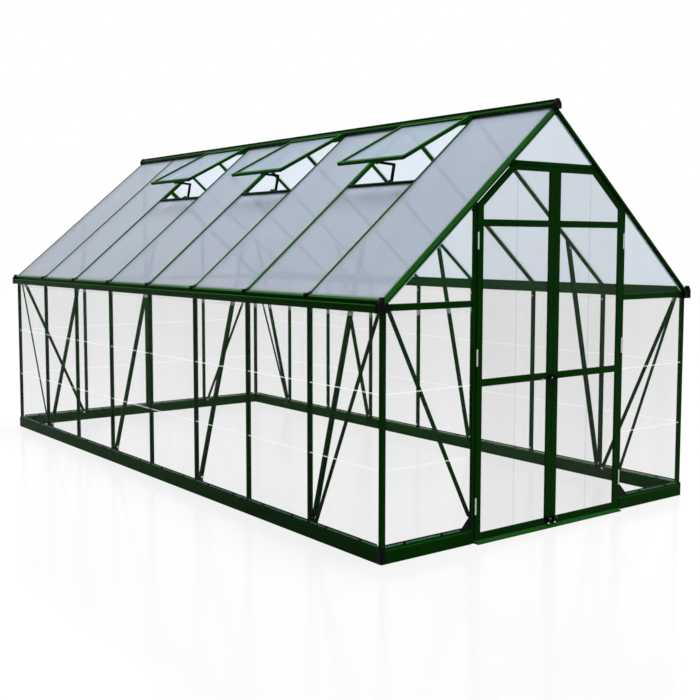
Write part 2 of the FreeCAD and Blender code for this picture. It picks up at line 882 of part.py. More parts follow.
def make_leaf_frame():
    y0, y1 = leaf_front, leaf_back
    wall = leaf_tube_wall
    outer, inner = leaf_hinge_edge, leaf_meeting_edge
    stile_in = outer - hinge_stile
    meet_in = inner + meeting_stile
    low_mitre, high_mitre = on_chamfer(stile_in, chamfer_bar), on_chamfer(outer, 0)
    mitre = [low_mitre, high_mitre, (outer, leaf_top * 2), (stile_in, leaf_top * 2)]
    hinge = tube_z(stile_in, outer, y0, y1, leaf_bottom, leaf_top, wall).cut(prism_xz(mitre, y0, y1))
    meeting = tube_z(inner, meet_in, y0, y1, leaf_bottom, leaf_top, wall)
    rails = []
    levels = ((leaf_bottom, bottom_rail_top), (middle_rail_bottom, middle_rail_bottom + middle_rail_height),
              (upper_rail_bottom, upper_rail_bottom + upper_rail_height))
    for z0, z1 in levels:
        rails.append(tube_x(meet_in, stile_in, y0, y1, z0, z1, wall))
    top_in = leaf_top - top_rail_height
    drop = rafter_depth + chamfer_gap
    shoulder = (ridge_plane_height - drop / slope_cos - leaf_top) / slope_tan
    shoulder_in = (ridge_plane_height - (drop + chamfer_bar) / slope_cos - top_in) / slope_tan
    cut_end = [(shoulder_in, top_in), (shoulder, leaf_top), (outer, leaf_top), (outer, top_in)]
    top = tube_x(meet_in, outer, y0, y1, top_in, leaf_top, wall).cut(prism_xz(cut_end, y0, y1))
    bar = [(shoulder_in, top_in), (shoulder, leaf_top), high_mitre, low_mitre]
    far_wall = chamfer_bar - wall
    inside = [on_chamfer(x, wall) for x in (0, outer)] + [on_chamfer(x, far_wall) for x in (outer, 0)]
    chamfer = prism_xz(bar, y0, y1).cut(prism_xz(inside, y0 + wall, y1 - wall))
    return [hinge, meeting, top, chamfer] + rails


def make_leaf_panes():
    """Three panes between the rails, each with a raised rib down its middle."""
    y0 = (leaf_front + leaf_back - leaf_pane) / 2
    y1 = y0 + leaf_pane
    left = leaf_meeting_edge + meeting_stile
    right = leaf_hinge_edge - hinge_stile
    top_in = leaf_top - top_rail_height
    drop = rafter_depth + chamfer_gap + chamfer_bar
    shoulder = (ridge_plane_height - drop / slope_cos - top_in) / slope_tan
    middle_top = middle_rail_bottom + middle_rail_height
    upper_top = upper_rail_bottom + upper_rail_height
    outlines = []
    for low, high in ((bottom_rail_top, middle_rail_bottom), (middle_top, upper_rail_bottom)):
        outlines.append([(left, low), (right, low), (right, high), (left, high)])
    mitre = on_chamfer(right, chamfer_bar)
    outlines.append([(left, upper_top), (right, upper_top), mitre, (shoulder, top_in), (left, top_in)])
    middle = (left + right) / 2
    panes = []
    for outline in outlines:
        low, high = outline[0][1], outline[-1][1]
        rib = box(middle - leaf_rib_width / 2, middle + leaf_rib_width / 2, y0 - leaf_rib_rise, y0, low, high)
        panes.append(fuse([prism_xz(outline, y0, y1), rib]))
    return panes


def hinge_rod(radius, z0, z1):
    return rod(radius, z1 - z0, (hinge_x, hinge_y, z0), (0, 0, 1))


def make_hinge_plate(x, z0, z1, notches):
    """Flat half of a hinge, against the plane x, notched where the other half's knuckles turn."""
    plate = box(x, x + hinge_sheet, hinge_y, hinge_y + hinge_leaf, z0, z1)
    for low, high in notches:
        reach = knuckle_radius + knuckle_gap
        plate = plate.cut(box(hinge_x - reach, hinge_x + reach, hinge_y - reach, hinge_y + reach, low, high))
    return plate


def make_hinges():
    """Butt hinges of the right leaf: fixed halves with their pins, and moving halves."""
    fixed, moving = [], []
    third = hinge_length / 3
    for z in hinge_heights:
        z1, z2, z3 = z + third, z + 2 * third, z + hinge_length
        low_end, high_start = z1 - knuckle_gap, z2 + knuckle_gap
        plate = make_hinge_plate(jamb_inner - hinge_sheet, z, z3, [(low_end, high_start)])
        knuckles = [hinge_rod(knuckle_radius, z, low_end), hinge_rod(knuckle_radius, high_start, z3)]
        fixed.append(fuse([plate, hinge_rod(pin_radius, z, z3)] + knuckles))
        plate = make_hinge_plate(leaf_hinge_edge, z, z3, [(z, z1), (z2, z3)])
        bore = hinge_rod(pin_radius + pin_clearance, z, z3)
        moving.append(fuse([plate, hinge_rod(knuckle_radius, z1, z2)]).cut(bore))
    return fixed, moving


def bolt_y():
    return leaf_front - bolt_guide_depth / 2


def make_bolt_guides():
    """Housing of the right bolt, with a slot in its front for the knob's travel."""
    front, half = leaf_front - bolt_guide_depth, bolt_guide_width / 2
    low, high = bolt_guide_bottom, bolt_guide_bottom + bolt_guide_height
    guide = box(bolt_inset - half, bolt_inset + half, front, leaf_front, low, high)
    hole = rod(bolt_radius + bolt_clearance, bolt_guide_height, (bolt_inset, bolt_y(), low), (0, 0, 1))
    room = bolt_knob_radius + bolt_clearance
    slot_low, slot_high = knob_height() - bolt_travel - room, knob_height() + room
    slot = box(bolt_inset - room, bolt_inset + room, front, bolt_y(), slot_low, slot_high)
    return [guide.cut(hole).cut(slot)]


def knob_height():
    return bolt_guide_bottom + bolt_guide_height - bolt_knob_drop


def make_bolt():
    """Round bolt with a tapered tip and a finger knob that stands out of the housing."""
    x, y = bolt_inset, bolt_y()
    shoulder = bolt_rest + bolt_tip
    rings = []
    for radius, z in ((bolt_tip_radius, bolt_rest), (bolt_radius, shoulder)):
        rings.append([Vector(x + a, y + b, z) for a, b in ring_points(radius)])
    tip = frustum(*rings)
    shank = rod(bolt_radius, bolt_length - bolt_tip, (x, y, shoulder), (0, 0, 1))
    knob = rod(bolt_knob_radius, bolt_knob_length + bolt_radius, (x, y, knob_height()), (0, -1, 0))
    return fuse([tip, shank, knob])


def latch_x():
    return -leaf_meeting_edge - meeting_stile / 2


def make_latch():
    """Turn handle on the left leaf: lever and hub outside, spindle through the stile, cam inside."""
    x, z = latch_x(), latch_height
    hub_front = leaf_front - rose_thickness - latch_hub_length
    hub = cylinder(latch_hub_radius, latch_hub_length, (x, hub_front, z), (0, 1, 0))
    tip = -leaf_meeting_edge - latch_lever_tip
    outline = tapered(x, tip, latch_lever_root_height, latch_lever_tip_height)
    lever = prism_xz(outline, hub_front, hub_front + latch_lever_thickness)
    cam_front = leaf_back + cam_clearance
    cam_back = cam_front + cam_thickness
    spindle = cylinder(spindle_radius, cam_back - hub_front, (x, hub_front, z), (0, 1, 0))
    cam = box(x - cam_width / 2, x + cam_width / 2, cam_front, cam_back, z - cam_width / 2, z + cam_length)
    return fuse([hub, lever, spindle, cam])


def tapered(root, tip, root_height, tip_height):
    """Outline of a bar at latch height that narrows from root to tip."""
    z, a, b = latch_height, root_height / 2, tip_height / 2
    return [(root, z - a), (tip, z - b), (tip, z + b), (root, z + a)]


def make_rose():
    start = (latch_x(), leaf_front - rose_thickness, latch_height)
    return cylinder(rose_radius, rose_thickness, start, (0, 1, 0)).cut(spindle_hole())


def spindle_hole():
    start = (latch_x(), leaf_front - rose_thickness, latch_height)
    return rod(spindle_radius + spindle_clearance, rose_thickness + leaf_depth, start, (0, 1, 0))


def make_pull():
    """Tapered pull bar on the right leaf, on a foot at the meeting stile."""
    y_bar = leaf_front - pull_stand_off
    x0 = leaf_meeting_edge + latch_lever_tip
    bar = prism_xz(tapered(x0, pull_tip, pull_root_height, pull_tip_height), y_bar - pull_thickness, y_bar)
    half = pull_foot_height / 2
    foot = box(x0, x0 + pull_foot_width, y_bar, leaf_front, latch_height - half, latch_height + half)
    return fuse([bar, foot])


def make_doors():
    frame, panes = make_leaf_frame(), make_leaf_panes()
    fixed, moving = make_hinges()
    write("right_door_frame", frame)
    left_frame = [mirror_x(piece).cut(spindle_hole()) for piece in frame]
    write("left_door_frame", left_frame)
    write("right_door_panes", panes)
    write("left_door_panes", [mirror_x(pane) for pane in panes])
    write("right_door_hinges", moving)
    write("left_door_hinges", [mirror_x(half) for half in moving])
    write("jamb_hinges", both_sides(fixed))
    guides = make_bolt_guides()
    write("right_bolt_guides", guides)
    write("left_bolt_guides", [mirror_x(guide) for guide in guides])
    write("right_drop_bolt", [make_bolt()])
    write("left_drop_bolt", [mirror_x(make_bolt())])
    write("latch_rose", [make_rose()])
    write("latch_handle", [make_latch()])
    write("door_pull", [make_pull()])


# Vents

def roof_point(s, n):
    """Point on the left slope, s down the slope from the bead and n above the roof plane."""
    bead_x, bead_z = bead_place()
    lift = n - bead_lift
    return bead_x - s * slope_cos - lift * slope_sin, bead_z - s * slope_sin + lift * slope_cos


def roof_prism(points, y0, y1):
    return prism_xz([roof_point(s, n) for s, n in points], y0, y1)


def roof_box(s0, s1, n0, n1, y0, y1):
    return roof_prism([(s0, n0), (s1, n0), (s1, n1), (s0, n1)], y0, y1)


def opened(shape):
    """Tilt a shape of a shut vent to the open position about the bead."""
    bead_x, bead_z = bead_place()
    turned = shape.copy()
    turned.rotate(Vector(bead_x, 0, bead_z), Vector(0, 1, 0), vent_open_angle)
    return turned


def opened_point(s, n):
    bead_x, bead_z = bead_place()
    angle = slope - math.radians(vent_open_angle)
    lift = n - bead_lift
    x = bead_x - s * math.cos(angle) - lift * math.sin(angle)
    return x, bead_z - s * math.sin(angle) + lift * math.cos(angle)


def sill_end():
    return sill_start + sill_width


def make_hook(y0, y1):
    """C-shaped hook round the bead, open towards the neck of the wing, with the plate that carries it."""
    bead_x, bead_z = bead_place()
    inner = bead_radius + hook_clearance
    outer = inner + hook_wall
    length = y1 - y0
    plate_top = bead_lift - bead_radius
    plate = roof_box(0, vent_rail_start, plate_top - hook_plate, plate_top, y0, y1)
    ring = fuse([cylinder(outer, length, (bead_x, y0, bead_z), (0, 1, 0)), plate])
    ring = ring.cut(cylinder(inner, length, (bead_x, y0, bead_z), (0, 1, 0)))
    far = hook_reach
    mouth = math.radians(hook_mouth_angle)
    wedge = [(0, bead_lift), (0, bead_lift + far), (-far * math.sin(mouth), bead_lift + far),
             (-far * math.sin(mouth), bead_lift + far * math.cos(mouth))]
    return ring.cut(roof_prism(wedge, y0, y1))


def make_vent(number, i):
    """One vent between frames i and i + 1: hook, frame, panel, clevis and stay."""
    y0 = frames[i] + vent_side_gap
    y1 = frames[i + 1] - vent_side_gap
    low, high = vent_lift, vent_lift + vent_rail_height
    rail = vent_rail_width
    top_end = vent_rail_start + vent_top_rail
    bottom_start = vent_length - vent_bottom_rail
    top = roof_box(vent_rail_start, top_end, low, high, y0, y1)
    top = fuse([top, make_hook(y0, y1)])
    bottom = roof_box(bottom_start, vent_length, low, high, y0, y1)
    wall = tube_wall
    low_in, high_in = low + wall, high - wall
    bottom = bottom.cut(roof_box(bottom_start + wall, vent_length - wall, low_in, high_in, y0, y1))
    sides = []
    for a, b in ((y0, y0 + rail), (y1 - rail, y1)):
        side = roof_box(top_end, bottom_start, low, high, a, b)
        sides.append(side.cut(roof_box(top_end, bottom_start, low_in, high_in, a + wall, b - wall)))
    panel_low = low + vent_panel_lift
    panel = roof_box(top_end, bottom_start, panel_low, panel_low + roof_panel, y0 + rail, y1 - rail)
    seal, skin = panel_seal, panel_skin
    air = roof_box(top_end + seal, bottom_start - seal, panel_low + skin, panel_low + roof_panel - skin,
                   y0 + rail + seal, y1 - rail - seal)
    panel = panel.cut(air)
    name = "vent_" + str(number)
    y = (y0 + y1) / 2 - stay_side_step
    clevis = make_clevis(y, bottom_start)
    write(name + "_frame", [opened(piece) for piece in [top, bottom] + sides + [clevis]])
    write(name + "_panel", [opened(panel)])
    write(name + "_stay", [make_stay(y, bottom_start)])


def pivot_place(bottom_start):
    return bottom_start - clevis_length / 2, vent_lift - clevis_drop / 2


def make_clevis(y, bottom_start):
    """Two cheeks on the bottom rail, with the pivot pin between them."""
    s, n = pivot_place(bottom_start)
    inner = stay_thickness / 2 + clevis_gap
    outer = inner + clevis_plate
    low, high = vent_lift - clevis_drop, vent_lift + vent_panel_lift
    cheeks = []
    for a, b in ((y - outer, y - inner), (y + inner, y + outer)):
        cheeks.append(roof_box(bottom_start - clevis_length, bottom_start, low, high, a, b))
    x, z = roof_point(s, n)
    span = 2 * outer
    pin = rod(stay_pivot_radius, span, (x, y - span / 2, z), (0, 1, 0))
    return fuse(cheeks + [pin])


def peg_place():
    return roof_point(sill_start - peg_stand_off, -peg_drop)


def make_stay(y, bottom_start):
    """Bent bar in the plane y: from the clevis in under the vent, then down past the peg of the sill."""
    x0, z0 = opened_point(*pivot_place(bottom_start))
    peg_x, peg_z = peg_place()
    corner = Vector(x0 + stay_reach, 0, z0 - stay_dip)
    half = stay_width / 2
    down = Vector(peg_x, 0, peg_z).sub(corner)
    lean = math.asin((peg_radius + peg_clearance + half) / down.Length)
    direction = math.atan2(down.z, down.x) + lean
    foot_length = down.Length * math.cos(lean) + stay_foot_past_peg
    foot = corner.add(Vector(math.cos(direction), 0, math.sin(direction)) * foot_length)
    pivot = Vector(x0, 0, z0)
    arms = [flat_arm(pivot, corner, half, y), flat_arm(corner, foot, half, y)]
    y_low = y - stay_thickness / 2
    rounds = [rod(half, stay_thickness, (p.x, y_low, p.z), (0, 1, 0)) for p in (pivot, corner, foot)]
    bore = rod(stay_pivot_radius + stay_clearance, stay_thickness, (x0, y_low, z0), (0, 1, 0))
    return fuse(arms + rounds).cut(bore)


def flat_arm(start, end, half, y):
    along = end.sub(start).normalize()
    side = Vector(-along.z, 0, along.x) * half
    corners = [start.add(side), end.add(side), end.sub(side), start.sub(side)]
    return prism_xz([(c.x, c.z) for c in corners], y - stay_thickness / 2, y + stay_thickness / 2)


def make_sills():
    sills, pegs = [], []
    for i in vent_frames:
        y0 = frames[i] + bar_core / 2
        y1 = frames[i + 1] - bar_core / 2
        sill = roof_box(sill_start, sill_end(), -bar_depth, -panel_top, y0, y1)
        lip_y0, lip_y1 = frames[i] + bar_width(i) / 2, frames[i + 1] - bar_width(i + 1) / 2
        lip = roof_box(vent_length + sill_lip_gap, sill_end(), -panel_top, sill_lip_rise, lip_y0, lip_y1)
        sills.append(fuse([sill, lip]))
        y = (frames[i] + frames[i + 1]) / 2 - stay_side_step
        x, z = peg_place()
        half = peg_bracket_width / 2
        plates = []
        start = sill_start - peg_stand_off - 2 * peg_radius
        low = -peg_drop - 2 * peg_radius
        for a in (y - half, y + half - peg_bracket_sheet):
            plates.append(roof_box(start, sill_start, low, -panel_bottom, a, a + peg_bracket_sheet))
        pin = rod(peg_radius, peg_bracket_width, (x, y - half, z), (0, 1, 0))
        pegs.append(fuse(plates + [pin]))
    write("vent_sills", sills)
    write("stay_pegs", pegs)


def main():
    os.makedirs("parts", exist_ok=True)
    make_base()
    make_base_corners()
    make_threshold()
    make_posts()
    make_corner_posts()
    make_eaves()
    make_gable_beams()
    make_roof_bars()
    make_gable_rafters()
    make_ridge()
    make_roof_panels()
    make_walls()
    make_gable_panes()
    make_struts()
    make_braces()
    make_doorway()
    make_doors()
    make_sills()
    for number, i in enumerate(vent_frames, start=1):
        make_vent(number, i)


main()
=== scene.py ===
"""Looks of the polycarbonate greenhouse: materials, light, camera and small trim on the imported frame.

Metres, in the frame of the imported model: +Z up, the doors face -Y, the vents are on the -X slope.
"""
import json
import math

import bmesh
import bpy
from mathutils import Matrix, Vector


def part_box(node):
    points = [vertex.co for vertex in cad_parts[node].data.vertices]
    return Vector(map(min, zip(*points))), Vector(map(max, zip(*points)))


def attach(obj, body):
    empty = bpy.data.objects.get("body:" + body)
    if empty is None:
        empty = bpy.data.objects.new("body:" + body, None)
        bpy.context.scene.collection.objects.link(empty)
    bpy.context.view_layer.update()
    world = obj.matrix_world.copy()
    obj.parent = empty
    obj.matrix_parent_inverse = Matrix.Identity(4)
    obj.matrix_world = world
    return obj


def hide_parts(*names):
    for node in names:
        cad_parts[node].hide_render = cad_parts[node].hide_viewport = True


# Camera: place, bearing from +Y, elevation, lens and sensor in millimetres, framing shift, and reach.
camera_place = (-4.3108, -6.2225, 1.5339)
camera_bearing = 36.693
camera_elevation = -4.6226
camera_lens = 53.5585
camera_sensor = 36.0
camera_shift = (0.02465, -0.02877)
camera_reach = 200.0

# Light: a wide sun from high above, a little to the right, and a faint sky.
sun_tilt = 10.0
sun_bearing = 90.0
sun_angle = 30.0
sun_strength = 4.8
sky_strength = 0.035
pure_white = (1.0, 1.0, 1.0, 1.0)

# Floor: size, depth below the ground, greys for bounced light and for shadow, and the shares of glow and of
# gloss in what is seen.
floor_size = 60.0
floor_drop = 0.0005
floor_bounce_grey = 0.08
floor_shadow_grey = 0.95
floor_glow_share = 0.93
floor_gloss_share = 0.09
floor_gloss_roughness = 0.15

# Colours, each as a dark and a light tone.
frame_greens = ((0.006, 0.082, 0.004), (0.009, 0.106, 0.006))
base_greens = ((0.004, 0.078, 0.002), (0.006, 0.1, 0.003))
# The ridge's greens are the frame's paint made darker: painted shade on the ridge beam.
ridge_painted_shade_greens = ((0.003, 0.045, 0.002), (0.005, 0.06, 0.003))
# The sills' near-black green is painted shade on the same paint as the frame.
sill_painted_shade_greens = ((0.001, 0.012, 0.001), (0.002, 0.02, 0.002))
plastic_blacks = ((0.002, 0.002, 0.003), (0.006, 0.005, 0.008))
sheet_greys = ((0.1, 0.11, 0.125), (0.17, 0.18, 0.195))
# The beads' light teal: their own grey-green, lightened by painted highlight.
bead_highlight_greens = ((0.3, 0.5, 0.48), (0.44, 0.62, 0.6))
# The foot strips' grey-green is a painted highlight on the base's lip.
strip_highlight_greens = ((0.08, 0.13, 0.13), (0.13, 0.19, 0.19))
milky_whites = ((0.93, 0.95, 0.97), (0.99, 0.99, 1.0))
steel_greys = ((0.44, 0.45, 0.47), (0.68, 0.69, 0.7))

# Twin-wall sheet: tones of its skin, of the lines between flutes and of the light that comes through it,
# scale and strength of those lines, and the shares of scattered light and of sheet against clear sight.
skin_blues = ((0.54, 0.6, 0.71), (0.6, 0.66, 0.77))
flute_blue = (0.45, 0.51, 0.62)
through_blues = ((0.8, 0.86, 0.91), (0.85, 0.9, 0.94))
flute_scale = 50.0
flute_strength = 0.25
scatter_share = 0.52
sheet_share = 0.74

# Tints of those tones. The vents' sheets cast no shadow, so light reaches both their faces, and a tint
# of painted shade darkens them.
roof_tint = (1.0, 1.0, 1.0)
vent_painted_shade_tint = (0.74, 0.8, 0.82)

# Clear sheets: least and most haze, which is partly the sheets' own and partly painted reflection, the
# heights between which painted reflection makes them greyer upward, and by how much.
gable_haze = (0.05, 0.06)
wall_haze = (0.045, 0.055)
door_haze = (0.085, 0.095)
painted_reflection_heights = (0.3, 1.0)
painted_reflection_gain = 0.025

# Ribs pressed into the wall sheets: heights, half the width of their lines, change of haze there, added haze
# and colour where they mirror the surroundings, and how near a wall's face a point counts as on it.
ribbed_nodes = ("left_wall_panes", "right_wall_panes", "end_wall_panes")
rib_heights = (0.455, 0.825)
rib_half = 0.003
rib_haze = -0.05
glint_haze = 0.36
glint_white = (0.97, 0.97, 0.98)
sheet_half = 0.004

# The line down the rib of each door sheet: half its width, and the added haze.
door_nodes = ("left_door_panes", "right_door_panes")
door_line_half = 0.0009
door_line_haze = 0.22

# Corners of a sheet's mesh that lie closer than this are one.
weld_distance = 0.00001

# Fasteners: steps of (rise above the face, radius), and the sides of round and faceted forms.
washer_steps = ((0.0, 0.0075), (0.0012, 0.0075))
bolt_steps = ((0.0012, 0.0052), (0.0040, 0.0052), (0.0048, 0.0042))
rivet_steps = ((0.0, 0.0040), (0.0010, 0.0038), (0.0018, 0.0024))
screw_steps = ((0.0, 0.0036), (0.0014, 0.0034), (0.0022, 0.0018))
round_sides = 12
hexagon_sides = 6
rivet_sides = 10
cap_rib_sides = 8

# Bays of the frame along the sides and across the back.
bay_pitch = 0.606
bay_count = 8
end_pitch = 0.594

# Where the bolts sit in posts and struts. A strut's foot is (distance from the middle, height), and its lean
# is the way inward for each metre of height.
post_bolt_inset = 0.03
strut_foot = (1.1537, 0.078)
strut_lean = 0.222
strut_bolt_heights = (0.1, 1.52)

# Braces, as top and foot at (place along the wall, height), their bolts' distance from the ends, and how far
# their inner faces lie behind the corner posts' outer faces.
side_brace = ((2.379, 1.235), (1.843, 0.056))
back_brace = ((1.137, 1.235), (0.619, 0.056))
front_brace = ((1.137, 1.235), (0.591, 0.148))
brace_bolt_inset = 0.015
brace_face_depth = 0.024

# Roof planes: height where they meet, and fall for each metre outward.
roof_peak = 2.283
roof_rise = 1.003
roof_half_width = 1.188
roof_fall = roof_rise / roof_half_width

# Beads under the gable rafters: depth below the roof plane, thickness, and spans outward from the middle.
bead_depths = (0.0262, 0.043)
bead_thickness = 0.0012
front_bead_spans = ((0.008, 0.304), (0.6, 1.155))
back_bead_spans = ((0.0115, 0.5825), (0.6055, 1.155))

# Strips at the feet of the wall panes with a gasket above, as (low edge, high edge) above the base. The
# lower strip, on the base's lip, is a painted highlight.
foot_gasket = (0.0085, 0.0155)
foot_lip = (0.0, 0.0085)
foot_thickness = 0.002

# Walls: outer faces of the panes and ends of the glazed stretches, both as distances from the middle
# (across, along), and half the widths of a post and of the doorway with its jambs.
wall_face = (1.186, 2.422)
wall_ends = (1.164, 2.4)
post_half = 0.011
doorway_half = 0.5986

# Doors, as (distance from the middle, height): rivets, outlines of the panes, and gaskets round them.
rail_rivets = ((0.554, 0.032), (0.554, 0.8325), (0.554, 1.65), (0.022, 1.65), (0.022, 1.9385))
rivet_spread = 0.007
pane_sides = (0.043, 0.534)
pane_spans = ((0.05, 0.816), (0.849, 1.635))
top_pane = ((0.043, 1.665), (0.534, 1.665), (0.534, 1.7366), (0.3085, 1.927), (0.043, 1.927))
gasket_width = 0.003
gasket_rise = 0.0012

# Latch and the small ring beside it.
latch_centre = (-0.022, 0.824)
ring_place = (-0.0786, 0.8175)
ring_radius = 0.006
ring_wire = 0.0013
ring_stand_off = 2 * ring_wire
ring_steps = 20
ring_sides = 6

# Moulded detail on the black ridge caps, gutter caps and bar clips. Ribs are (inset from the side, height),
# and the steps of a clip's cap are (rise, share of its half widths).
diamond_size = 0.013
diamond_rise = 0.004
diamond_top_share = 0.7
cap_rib_radius = 0.003
cap_ribs = ((0.010, 0.038), (0.024, 0.058))
cap_rib_foot = 0.008
sleeve_length = 0.012
sleeve_sheet = 0.0015
sleeve_height = 0.046
clip_cap_half = (0.009, 0.014)
clip_cap_steps = ((0.0, 1.0), (0.016, 1.0), (0.021, 0.7))


# Materials

def new_material(name):
    """A material with only its output and a principled shader, and its coordinates in object space."""
    material = bpy.data.materials.new(name)
    material.use_nodes = True
    tree = material.node_tree
    shader = tree.nodes["Principled BSDF"]
    coords = tree.nodes.new("ShaderNodeTexCoord")
    return material, tree, shader, coords.outputs["Object"]


def scaled(tree, coords, scale):
    """Stretch the coordinates by a factor on each axis."""
    mapping = tree.nodes.new("ShaderNodeMapping")
    mapping.inputs["Scale"].default_value = scale
    tree.links.new(coords, mapping.inputs["Vector"])
    return mapping.outputs["Vector"]


def noise(tree, coords, scale, detail=2.0):
    """Cloudy values from 0 to 1."""
    node = tree.nodes.new("ShaderNodeTexNoise")
    node.inputs["Scale"].default_value = scale
    node.inputs["Detail"].default_value = detail
    tree.links.new(coords, node.inputs["Vector"])
    return node.outputs["Fac"]


def remap(tree, value, low, high, from_low=0.0, from_high=1.0):
    """Move values from one range to another and hold them inside it."""
    node = tree.nodes.new("ShaderNodeMapRange")
    node.inputs["From Min"].default_value = from_low
    node.inputs["From Max"].default_value = from_high
    node.inputs["To Min"].default_value = low
    node.inputs["To Max"].default_value = high
    tree.links.new(value, node.inputs["Value"])
    return node.outputs["Result"]


def blend(tree, factor, first, second):
    """Mix two colours; each is red, green and blue or a node's output."""
    node = tree.nodes.new("ShaderNodeMix")
    node.data_type = "RGBA"
    tree.links.new(factor, node.inputs["Factor"])
    for socket, colour in ((node.inputs["A"], first), (node.inputs["B"], second)):
        if isinstance(colour, tuple):
            socket.default_value = (*colour, 1.0)
        else:
            tree.links.new(colour, socket)
    return node.outputs["Result"]


def combined(tree, operation, first, second):
    """Two values put together by a math operation."""
    node = tree.nodes.new("ShaderNodeMath")
    node.operation = operation
    tree.links.new(first, node.inputs[0])
    tree.links.new(second, node.inputs[1])
    return node.outputs["Value"]


def raised(tree, value, mask, amount):
    """The value, with amount added where the mask is 1."""
    node = tree.nodes.new("ShaderNodeMath")
    node.operation = "MULTIPLY_ADD"
    node.inputs[1].default_value = amount
    tree.links.new(mask, node.inputs[0])
    tree.links.new(value, node.inputs[2])
    return node.outputs["Value"]


def near(tree, coords, axis, places, half_width):
    """1 where the surface is within half_width of one of the places along an axis, 0 elsewhere."""
    parts = tree.nodes.new("ShaderNodeSeparateXYZ")
    tree.links.new(coords, parts.inputs["Vector"])
    mask = None
    for place in places:
        node = tree.nodes.new("ShaderNodeMath")
        node.operation = "COMPARE"
        node.inputs[1].default_value = place
        node.inputs[2].default_value = half_width
        tree.links.new(parts.outputs[axis], node.inputs[0])
        found = node.outputs["Value"]
        mask = combined(tree, "MAXIMUM", mask, found) if mask else found
    return mask


def bump(tree, height, strength, distance):
    """Normals tilted by a height pattern."""
    node = tree.nodes.new("ShaderNodeBump")
    node.inputs["Strength"].default_value = strength
    node.inputs["Distance"].default_value = distance
    tree.links.new(height, node.inputs["Height"])
    return node.outputs["Normal"]


def mixed(tree, first, second, share):
    """Mix two shaders; share is the second one's part, a number or a node's output."""
    node = tree.nodes.new("ShaderNodeMixShader")
    if isinstance(share, float):
        node.inputs["Fac"].default_value = share
    else:
        tree.links.new(share, node.inputs["Fac"])
    tree.links.new(first, node.inputs[1])
    tree.links.new(second, node.inputs[2])
    return node.outputs["Shader"]


def powder_coat(name, greens):
    """Satin powder coat: slow tone changes, fine orange peel and a slightly uneven gloss."""
    material, tree, shader, coords = new_material(name)
    slow = noise(tree, coords, scale=3.0, detail=3.0)
    tone = remap(tree, slow, low=0.0, high=1.0, from_low=0.3, from_high=0.7)
    tree.links.new(blend(tree, tone, *greens), shader.inputs["Base Color"])
    shader.inputs["Specular IOR Level"].default_value = 0.02
    patches = noise(tree, coords, scale=40.0)
    tree.links.new(remap(tree, patches, low=0.34, high=0.5), shader.inputs["Roughness"])
    peel = noise(tree, coords, scale=900.0)
    tree.links.new(bump(tree, peel, strength=0.12, distance=0.0004), shader.inputs["Normal"])
    return material


def black_plastic():
    """Moulded black plastic with a fine spark-eroded grain."""
    material, tree, shader, coords = new_material("black_plastic_look")
    slow = noise(tree, coords, scale=20.0)
    tree.links.new(blend(tree, slow, *plastic_blacks), shader.inputs["Base Color"])
    shader.inputs["Specular IOR Level"].default_value = 0.05
    tree.links.new(remap(tree, slow, low=0.3, high=0.45), shader.inputs["Roughness"])
    grain = noise(tree, coords, scale=1200.0, detail=3.0)
    tree.links.new(bump(tree, grain, strength=0.2, distance=0.0003), shader.inputs["Normal"])
    return material


def clear_sheet(name, haze_range):
    """Clear extruded sheet: faint haze in upright bands, greyer higher up by painted reflection. Also returns
    its parts.
    """
    material, tree, shader, coords = new_material(name)
    bands = noise(tree, scaled(tree, coords, (5.0, 5.0, 0.3)), scale=1.0)
    haze = noise(tree, coords, scale=1.1)
    colour = blend(tree, haze, *sheet_greys)
    parts = tree.nodes.new("ShaderNodeSeparateXYZ")
    tree.links.new(coords, parts.inputs["Vector"])
    # Painted reflection: the sheet grows greyer from the lower to the upper height.
    height = remap(tree, parts.outputs["Z"], 0.0, 1.0, *painted_reflection_heights)
    alpha = raised(tree, remap(tree, bands, *haze_range, from_low=0.35, from_high=0.65), height, painted_reflection_gain)
    tree.links.new(colour, shader.inputs["Base Color"])
    tree.links.new(alpha, shader.inputs["Alpha"])
    tree.links.new(remap(tree, haze, low=0.06, high=0.16), shader.inputs["Roughness"])
    wave = noise(tree, coords, scale=6.0)
    tree.links.new(bump(tree, wave, strength=0.05, distance=0.002), shader.inputs["Normal"])
    return material, tree, shader, coords, colour, alpha


def ribbed_sheet():
    """Wall sheet with pressed ribs: clear lines that mirror the surroundings on the left and front."""
    material, tree, shader, coords, colour, alpha = clear_sheet("ribbed_sheet_look", wall_haze)
    ribs = near(tree, coords, "Z", rib_heights, rib_half)
    left = near(tree, coords, "X", (-wall_face[0],), sheet_half)
    front = near(tree, coords, "Y", (-wall_face[1],), sheet_half)
    glint = combined(tree, "MULTIPLY", ribs, combined(tree, "MAXIMUM", left, front))
    tree.links.new(blend(tree, glint, colour, glint_white), shader.inputs["Base Color"])
    ribbed_alpha = raised(tree, alpha, ribs, rib_haze)
    tree.links.new(raised(tree, ribbed_alpha, glint, glint_haze), shader.inputs["Alpha"])
    tree.links.new(glint, shader.inputs["Metallic"])
    return material


def door_sheet():
    """Clear door sheet with a dark line down the rib in its middle."""
    material, tree, shader, coords, _, alpha = clear_sheet("door_sheet_look", door_haze)
    low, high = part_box("right_door_panes")
    middle = (low[0] + high[0]) / 2
    line = near(tree, coords, "X", (-middle, middle), door_line_half)
    tree.links.new(raised(tree, alpha, line, door_line_haze), shader.inputs["Alpha"])
    return material


